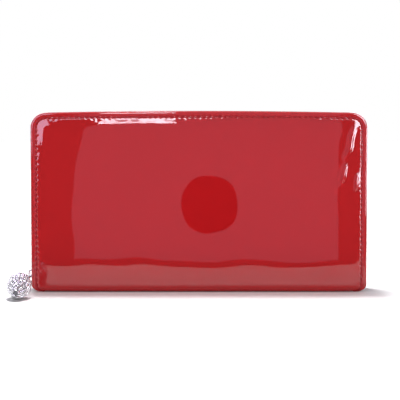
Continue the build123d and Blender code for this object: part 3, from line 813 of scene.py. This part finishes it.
def charmProfile(share):
    # the charm's side, a cubic curve from the neck out round the shoulder and down to the tip
    start, end = charm["neck"], charm["neck"] + charm["length"]
    p = np.array([[start, charm["neckRadius"]], [start, charm["bulge"]],
                  [start + charm["length"] / 2, charm["waist"]], [end, 0.0]])
    u = share[..., None]
    return (1 - u) ** 3 * p[0] + 3 * u * (1 - u) ** 2 * p[1] + 3 * u ** 2 * (1 - u) * p[2] + u ** 3 * p[3]


def revolve(origin, axis, one, two, profile, steps):
    # a turned shape: each (along, radius) station becomes a ring about the axis
    a = turnOf(steps)
    around = np.cos(a)[None, :, None] * one + np.sin(a)[None, :, None] * two
    points = origin + profile[:, 0, None, None] * axis + profile[:, 1, None, None] * around
    return points.reshape(-1, 3), ringFaces(len(profile), steps)


def stonePlaces():
    # rings of places down the charm, even in distance along its side, each turned half a step from the last
    pitch = charm["stonePitch"]
    side = charmProfile(np.linspace(0, 1, 2001))
    run = np.concatenate([[0], np.cumsum(np.linalg.norm(np.diff(side, axis=0), axis=1))])
    for k, distance in enumerate(np.arange(pitch * 0.62, run[-1] - pitch * 0.4, pitch * charm["ringPitch"])):
        spot = np.array([np.interp(distance, run, side[:, j]) for j in range(2)])
        ahead = np.array([np.interp(distance + 0.05, run, side[:, j]) for j in range(2)])
        count = int(2 * math.pi * spot[1] / pitch)
        if count >= 4:
            yield spot, unit(ahead - spot), 2 * math.pi * (np.arange(count) + 0.5 * (k % 2)) / count


def makeCharm():
    # a dark setting a little inside the stones' profile, whose dark colour paints the shade in the gaps
    # between the stones, and a frame for each stone from the profile's slope
    origin, axis, up, swing = charmAxes()
    profile = charmProfile(np.linspace(0, 1, 60))
    profile[:, 1] = np.maximum(profile[:, 1] - 0.12, 0.02)
    points, faces = revolve(origin, axis, up, swing, profile, 64)
    place(makeMesh("charm_setting", points, faces, gapShadeSilver, fixNormals=True), "charm", "polished_metal",
          "charm_body")
    found = []
    for spot, slope, turn in stonePlaces():
        around = np.cos(turn)[:, None] * up + np.sin(turn)[:, None] * swing
        normal = unit(-slope[1] * axis + slope[0] * around)
        along = unit(slope[0] * axis + slope[1] * around)
        found.append((origin + spot[0] * axis + spot[1] * around, along, np.cross(along, normal), normal))
    centre, along, across, normal = (np.concatenate(part) for part in zip(*found))
    makeStones(centre, along, normal)
    makeBeads(centre, along, across, normal)
    makeCharmCap(origin, axis, up, swing)


def makeStones(centre, along, normal):
    # round brilliants of eight sides, each leaning a little its own way, with a tone for every facet that
    # paints a bright glint on some facets and a dark reflection on others
    random = np.random.default_rng(charm["seed"])
    sides = charm["stoneSides"]
    a = turnOf(sides)
    template = np.concatenate([
        np.stack([radius * np.cos(a + turn), radius * np.sin(a + turn), np.full(sides, height)], -1)
        for radius, height, turn in charm["stone"]])
    quads = gridFaces(len(charm["stone"]), sides, False, True).tolist()
    facets = [half for q in quads for half in ([q[0], q[1], q[2]], [q[0], q[2], q[3]])]
    facets += [list(range(sides))[::-1], list(range(len(template) - sides, len(template)))]
    leaning = unit(normal + charm["stoneTilt"] * random.normal(size=normal.shape))
    turned = unit(along - (along * leaning).sum(1, keepdims=True) * leaning)
    points, faces = manyCopies(template, facets, centre, np.cross(turned, leaning), turned, leaning)
    # each facet's tone, dark to bright, is a painted reflection
    tone = random.random(len(faces)) * 0.8 + np.repeat(random.random(len(centre)), len(facets)) * 0.3
    stones = makeMesh("charm_crystals", points, faces, crystal, {"tone": np.clip(tone, 0, 1)}, smooth=False,
                      fixNormals=True)
    place(stones, "charm", "crystal", "charm_stones")


def makeBeads(centre, along, across, normal):
    # four small beads of metal stand round each stone and hold it
    angles = math.pi / 4 + np.arange(4) * math.pi / 2
    spots = np.concatenate([
        centre + charm["beadOut"] * (math.cos(t) * across + math.sin(t) * along) + charm["beadLift"] * normal
        for t in angles])
    rings = np.array(charm["bead"])
    a = turnOf(charm["beadSides"])
    bead = np.stack([rings[:, 0:1] * np.cos(a), rings[:, 0:1] * np.sin(a),
                     np.repeat(rings[:, 1:2], charm["beadSides"], 1)], -1) * charm["beadSize"]
    points, faces = manyCopies(bead.reshape(-1, 3), ringFaces(len(rings), charm["beadSides"]), spots,
                               *(np.tile(d, (4, 1)) for d in (across, along, normal)))
    place(makeMesh("charm_bead_prongs", points, faces, silver, fixNormals=True), "charm", "polished_metal")


cap = {"eyeRadius": 1.72, "eyeWire": 0.5, "start": 2.05, "overlap": 0.25, "radius": 1.0, "flare": 1.95,
       "ripple": 0.18, "steps": 48, "flutes": 12, "fluteDepth": 0.05, "rimBeads": 18, "rimRadius": 3.0,
       "rimBead": 0.46, "rimAt": 0.2}


def makeCharmCap(origin, axis, up, swing):
    # the eye that the link runs through, above a fluted cap with a beaded rim
    a = turnOf(40)[:, None]
    ring = closedTube(origin + cap["eyeRadius"] * (np.cos(a) * axis + np.sin(a) * up), cap["eyeWire"], 12)
    share = np.linspace(0, 1, 16)
    radius = cap["radius"] + cap["flare"] * share ** 0.8 + cap["ripple"] * np.sin(share * math.pi * 3)
    along = cap["start"] + (charm["neck"] - cap["start"] + cap["overlap"]) * share
    cup, cupFaces = revolve(origin, axis, up, swing, np.stack([along, radius], -1), cap["steps"])
    flute = 1 + cap["fluteDepth"] * np.cos(np.tile(turnOf(cap["steps"]), len(share)) * cap["flutes"])
    middle = origin + np.repeat(along, cap["steps"])[:, None] * axis
    cup = middle + (cup - middle) * flute[:, None]
    count = cap["rimBeads"]
    a = turnOf(count)[:, None]
    rimMiddle = origin + (charm["neck"] + cap["rimAt"]) * axis
    spots = rimMiddle + cap["rimRadius"] * (np.cos(a) * up + np.sin(a) * swing)
    u, v = np.meshgrid(np.linspace(-math.pi / 2, math.pi / 2, 7)[1:-1], turnOf(8), indexing="ij")
    ball = cap["rimBead"] * np.stack([np.cos(u) * np.cos(v), np.cos(u) * np.sin(v), np.sin(u)], -1)
    rim = manyCopies(ball.reshape(-1, 3), ringFaces(5, 8), spots,
                     *(np.tile(d, (count, 1)) for d in (axis, up, swing)))
    points, faces = joinParts([ring, (cup, cupFaces), rim])
    place(makeMesh("charm_cap_fluted", points, faces, silver, fixNormals=True), "charm", "polished_metal",
          "charm_cap")


makeLink()
makeCharm()
print("link and charm")


lining = {"board": 0.8, "thick": 0.4, "back": 0.02, "ripple": 0.04, "wide": 90, "tall": 120}


def makeLining(word, side):
    # one cloth from the middle of the spine round the bend and up the cover, thicker than cloth for its paste
    section = Section(side, wallet["leather"] + lining["board"], wallet["height"])
    inset = wallet["halfLength"] - liningHigh[0]
    height = section.top - (wallet["height"] - liningHigh[2])
    radius = wallet["cornerRadius"] - inset
    t = np.linspace(0, height, lining["tall"])
    up = np.clip(t - (height - radius), 0, radius)
    half = liningHigh[0] - (radius - np.sqrt(np.maximum(radius ** 2 - up ** 2, 0)))
    x = np.linspace(-1, 1, lining["wide"])[None] * half[:, None]
    t = np.repeat(t[:, None], lining["wide"], 1)
    ripple = lining["ripple"] * np.sin(x * 0.9 + np.sin(t * 0.31) * 2.0) * np.sin(t * 0.45)
    face = section.place(x, t, -lining["thick"] - np.abs(ripple))
    rear = section.place(x, t, np.full(x.shape, -lining["back"]))
    points, faces = slab(face, rear)
    piece = makeMesh(f"{word}_lining_cloth", points, faces, twill, fixNormals=True)
    bendWithCover(piece, word, "lining", f"{word}_cover_lining", "spine_lining")
    height * mm


pocket = {"corner": 3.0, "edgeRoll": 0.22, "rollShare": 0.45, "foldLine": 2.0, "foldDepth": 0.10,
          "foldWidth": 0.25, "partDepth": 0.14, "partWidth": 0.5, "puff": 0.06, "wide": 120, "tall": 60}


def makePocketSheet(node, side, divided):
    # a leather sheet with a rolled edge and a crease below its top; a pressed line parts the two card columns
    low, high = boxMm(node)
    u = np.linspace(-1, 1, pocket["wide"])
    u = np.sign(u) * np.abs(u) ** 0.85
    v = np.linspace(0, 1, pocket["tall"])[:, None] ** 0.8
    x = (low[0] + high[0]) / 2 + u[None] * (high[0] - low[0]) / 2 + 0 * v
    z = low[2] + v * (high[2] - low[2]) + 0 * u[None]
    corner = pocket["corner"]
    over = np.clip(z - (high[2] - corner), 0, corner)
    x = np.sign(x) * np.minimum(np.abs(x), high[0] - (corner - np.sqrt(corner ** 2 - over ** 2)))
    edge = np.minimum(np.minimum(high[2] - z, high[0] - np.abs(x)), z - low[2])
    near = np.clip(1 - edge / pocket["edgeRoll"], 0, 1)
    lift = -(high[1] - low[1]) * pocket["rollShare"] * (1 - np.sqrt(1 - near ** 2))
    fromFold = (high[2] - z - pocket["foldLine"]) / pocket["foldWidth"]
    lift = lift - pocket["foldDepth"] * np.exp(-fromFold ** 2)
    if divided:
        lift = lift - pocket["partDepth"] * np.exp(-(x / pocket["partWidth"]) ** 2) * (z < high[2] - 0.5)
        lift = lift + pocket["puff"] * np.sin(np.abs(x) / high[0] * math.pi) * np.sin(v * math.pi)
    # the face looks towards the middle of the wallet
    faceAt, rearAt = (high[1], low[1]) if side < 0 else (low[1], high[1])
    face = np.stack([x, faceAt - side * lift, z], -1)
    rear = np.stack([x, rearAt + 0 * x, z], -1)
    points, faces = slab(face, rear)
    place(makeMesh(f"{node}_sheet", points, faces, pocketLeather, fixNormals=True),
          node.split("_")[0] + "_cover", "inner_leather", node)


gusset = {"foldTop": 19.0, "foldBottom": 2.0, "rows": 40, "across": 26, "thick": 0.4, "tab": 0.16,
          "tabShare": 0.45, "lead": 3.2, "inset": 1.0, "seat": 0.15}


def makeGusset(node):
    # a strip folded inwards between cover and coin pocket, deeper towards the top, so that it can fan out
    low, high = boxMm(node)
    word, end = node.split("_")[:2]
    side, way = wallet["sides"][word], -1 if end == "left" else 1
    outerX = max(abs(low[0]), abs(high[0])) - gusset["inset"]
    coverY = max(abs(low[1]), abs(high[1]))
    coinY = min(abs(low[1]), abs(high[1])) + gusset["seat"]
    v = np.linspace(0, 1, gusset["rows"])[:, None]
    u = np.linspace(0, 1, gusset["across"])[None]
    tab = gusset["tab"]
    past = np.clip((u - tab) / (1 - tab), 0, 1)
    fold = gusset["foldBottom"] + (gusset["foldTop"] - gusset["foldBottom"]) * v
    x = outerX - fold * (1 - np.abs(2 * past - 1) ** 1.6) - gusset["lead"] * past ** 3
    tabShare = gusset["tabShare"]
    y = coverY + (coinY - coverY) * (tabShare * np.clip(u / tab, 0, 1) + (1 - tabShare) * past)
    z = low[2] + (high[2] - low[2]) * v + 0 * u
    middle = np.stack([way * x, side * y + 0 * x, z], -1)
    normal = unit(np.cross(np.gradient(middle, axis=1), np.gradient(middle, axis=0)))
    points, faces = slab(middle + normal * gusset["thick"] / 2, middle - normal * gusset["thick"] / 2)
    piece = makeMesh(f"{node}_fold", points, faces, pocketLeather, fixNormals=True)
    side * (coinY + 0.2) * mm
    side * (coverY - 0.4) * mm
    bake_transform(piece)
    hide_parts(node)


for word, side in wallet["sides"].items():
    makeLining(word, side)
    makePocketSheet(f"{word}_card_backing", side, False)
    for level in ("high", "middle", "low"):
        makePocketSheet(f"{word}_{level}_card_pocket", side, True)
    for end in ("left", "right"):
        makeGusset(f"{word}_{end}_gusset")
    node = f"coin_pocket_{word}_wall"
    place(bevelCopy(node, f"coin_{word}_panel", pocketLeather, 0.25, 3), "spine", "inner_leather", node)
for node, name, width, segments in (
        ("coin_pocket_side_strip", "coin_side_strip", 0.12, 2),
        ("left_end_tab", "left_end_tab_leather", 0.3, 3), ("right_end_tab", "right_end_tab_leather", 0.3, 3)):
    place(bevelCopy(node, name, pocketLeather, width, segments), "spine", "inner_leather", node)
for node, body in (("coin_slider_body", "coin_slider"), ("coin_slider_bridge", "coin_slider"),
                   ("coin_pull_tab", "coin_pull"), ("coin_zip_stops", "spine")):
    place(bevelCopy(node, f"{node}_finished", nickel, 0.14), body, "polished_metal", node)
for node, material in (("coin_zip_front_teeth", toothMetal), ("coin_zip_back_teeth", toothMetal),
                       ("coin_zip_front_tape", coinTape), ("coin_zip_back_tape", coinTape),
                       ("front_cover_board", board), ("back_cover_board", board), ("spine_board", board)):
    nodes[node].data.materials.clear()
    nodes[node].data.materials.append(material)
print("inside")


table = {"half": 3000.0, "glowFrom": 0.25, "glowTo": 1.3, "glow": 0.70}


def makeTable():
    # white near the wallet, where it takes the shadow, and glowing a little further out to stay white there
    s = Shader("whiteTable")
    soft = s.noise(s.place(), 3.0, 2.0)
    away = s.node("ShaderNodeVectorMath", {"operation": "LENGTH"}, [s.place()], out="Value")
    far = s.node("ShaderNodeMapRange", {"interpolation_type": "SMOOTHSTEP"},
                 [away, table["glowFrom"], table["glowTo"], 0.0, table["glow"]])
    material = s.finish(color=s.mix(soft * 0.3, (0.93, 0.93, 0.94), (0.90, 0.90, 0.91)), rough=0.75,
                        specular=0.15, glow=s.mix(far, (0.0, 0.0, 0.0), (1.0, 1.0, 1.0)), glowStrength=1.0)
    h = table["half"]
    makeMesh("tableTop", [[-h, -h, 0], [h, -h, 0], [h, h, 0], [-h, h, 0]], [[0, 1, 2, 3]], material,
                      smooth=False)


def glowing(name, color, strength):  # gives off this light and reflects none
    s = Shader(name)
    glow = s.node("ShaderNodeEmission", sockets={"Color": color, "Strength": strength})
    s.tree.links.new(glow.socket, s.output.inputs["Surface"])
    return s.material


def card(name, corners, material, sign):
    # studio cards are painted reflections and painted highlights, seen in the gloss only: they light and hide
    # nothing
    corners = np.array(corners, float)
    corners[:, 1] *= sign
    piece = makeMesh(name, corners, [list(range(len(corners)))], material, smooth=False)
    for rays in ("camera", "diffuse", "shadow", "transmission", "volume_scatter"):
        setattr(piece, f"visible_{rays}", False)


# where the cards stand that paint reflections and highlights into the gloss, the lens hole among them
studio = {"distance": 167.0, "side": 252, "rightEnd": 345.0, "step": 95, "top": 300.0, "foot": 17,
          "lensX": 7.9, "lensZ": 40.3, "lensWide": 17.8, "lensTall": 19.1, "lensUneven": 0.5,
          "worldLight": 0.36}


def makeReflectionCards():
    # painted reflections of a dark flag with a pale panel and a round lens hood on it, and bright windows
    # that paint the highlights on the rims
    y, side, half, top = -studio["distance"], studio["side"], studio["rightEnd"], studio["top"]
    # glow colours of the painted reflections and painted highlights: these cards glow though they are no
    # lamps
    dark = glowing("darkFlagPaintedReflection", (1.0, 0.9, 0.95), 0.16)
    pale = glowing("palePanelPaintedReflection", (0.92, 0.78, 0.98), 0.74)
    black = glowing("lensHolePaintedReflection", (1.0, 1.0, 1.0), 0.0)
    bright = glowing("brightWindow", (0.92, 0.88, 1.0), 19.0)
    lilac = glowing("lilacPaintedHighlight", (0.86, 0.74, 1.0), 7.0)
    a = turnOf(72)
    uneven = studio["lensUneven"]
    lens = list(zip(studio["lensX"] + studio["lensWide"] * np.cos(a) - uneven * np.cos(3 * a),
                    studio["lensZ"] + studio["lensTall"] * np.sin(a) + uneven * np.sin(3 * a)))
    step = studio["step"]
    shapes = {
        "Flag": (0.0, dark, [(-side, 0), (half, 0), (half, step), (side, step), (side, top), (-side, top)]),
        "Panel": (0.5, pale, [(-86, 2.9), (95.6, 2.5), (97, 80), (98, 160), (side, 172), (side, top),
                              (-side, top), (-side, 176), (-70, 174), (-14, 170), (-14, 135), (-58, 131),
                              (-68, 127), (-75, 118), (-78.5, 106), (-80, 90), (-82, 74), (-84.6, 56),
                              (-86, 40)]),
        "Lens": (1.0, black, lens),
        "TopPaintedHighlight": (1.0, bright, [(-68, 136), (-16, 136), (-16, 216), (-68, 216)]),
        "LeftPaintedHighlight": (1.0, lilac, [(-248, 68), (-150, 80), (-124, 108), (-104, 128), (-104, 236),
                                    (-248, 236)]),
        "RightPaintedHighlight": (1.0, bright, [(126, 112), (170, 104), (243, 98), (243, 226), (118, 226)]),
        "CreasePaintedHighlight": (1.0, bright, [(226, 30), (342, 30), (342, 92), (226, 92)]),
    }
    # a dark strip at the table's edge, a painted reflection in the gloss
    foot = [(-side, 0), (side, 0), (side, studio["foot"]), (-side, studio["foot"])]
    for sign, word in ((1, "front"), (-1, "back")):
        card(f"{word}Foot", [[x, y + forward, 0.4] for x, forward in foot], dark, sign)
        for tag, (forward, material, outline) in shapes.items():
            card(f"{word}{tag}", [[x, y + forward, z] for x, z in outline], material, sign)


def makeWorld():
    # white to the camera and in reflections, and a softer white as light
    world = bpy.data.worlds.new("studioWorld")
    bpy.context.scene.world = world
    world.use_nodes = True
    tree = world.node_tree
    tree.nodes.clear()
    output = tree.nodes.new("ShaderNodeOutputWorld")
    mixed = tree.nodes.new("ShaderNodeMixShader")
    path = tree.nodes.new("ShaderNodeLightPath")
    share = path.outputs["Is Camera Ray"]
    for kind in ("Is Glossy Ray", "Is Transmission Ray"):
        either = tree.nodes.new("ShaderNodeMath")
        either.operation = "MAXIMUM"
        tree.links.new(share, either.inputs[0])
        tree.links.new(path.outputs[kind], either.inputs[1])
        share = either.outputs[0]
    tree.links.new(share, mixed.inputs[0])
    for socket, strength in ((1, studio["worldLight"]), (2, 1.0)):
        white = tree.nodes.new("ShaderNodeBackground")
        white.inputs["Color"].default_value = (1.0, 1.0, 1.0, 1)
        white.inputs["Strength"].default_value = strength
        tree.links.new(white.outputs[0], mixed.inputs[socket])
    tree.links.new(mixed.outputs[0], output.inputs[0])


lamps = {
    "overhead": {"at": (-0.05, 0.20, 0.9), "to": (0, 0, 0.03), "size": 0.20, "watts": 10.4},
    "topLight": {"at": (-0.04, -0.07, 0.34), "to": (0, 0, 0.08), "size": 0.12, "watts": 0.12},
    "frontFill": {"at": (0.2, -1.5, 0.10), "to": (0, 0, 0.06), "size": 0.8, "watts": 7.2},
    "rearFill": {"at": (-0.2, 1.5, 0.14), "to": (0, 0, 0.05), "size": 0.8, "watts": 4.4},
}


def aim(item, at, target):  # a lamp or camera looks along its own -z
    item.location = at
    item.rotation_euler = (Vector(target) - Vector(at)).to_track_quat("-Z", "Y").to_euler()
    bpy.context.scene.collection.objects.link(item)


def makeLamp(name, lamp):
    data = bpy.data.lights.new(name, "AREA")
    data.shape, data.size, data.energy = "SQUARE", lamp["size"], lamp["watts"]
    item = bpy.data.objects.new(name, data)
    item.visible_glossy = False
    aim(item, lamp["at"], lamp["to"])


view = {"distance": 900.0, "elevation": 3.8, "focal": 137.8, "sensor": 36, "aimX": 0.6, "aimZ": 52.8}


def makeCamera():
    data = bpy.data.cameras.new("camera")
    data.lens, data.sensor_width = view["focal"], view["sensor"]
    data.clip_start, data.clip_end = 0.01, 50
    camera = bpy.data.objects.new("camera", data)
    tilt = math.radians(view["elevation"])
    target = Vector((view["aimX"], 0, view["aimZ"])) * mm
    aim(camera, target + Vector((0, -math.cos(tilt), math.sin(tilt))) * view["distance"] * mm, target)
    bpy.context.scene.camera = camera


makeTable()
makeReflectionCards()
makeWorld()
for name, lamp in lamps.items():
    makeLamp(name, lamp)
makeCamera()
bpy.context.scene.view_settings.view_transform = "Standard"
print("stage")
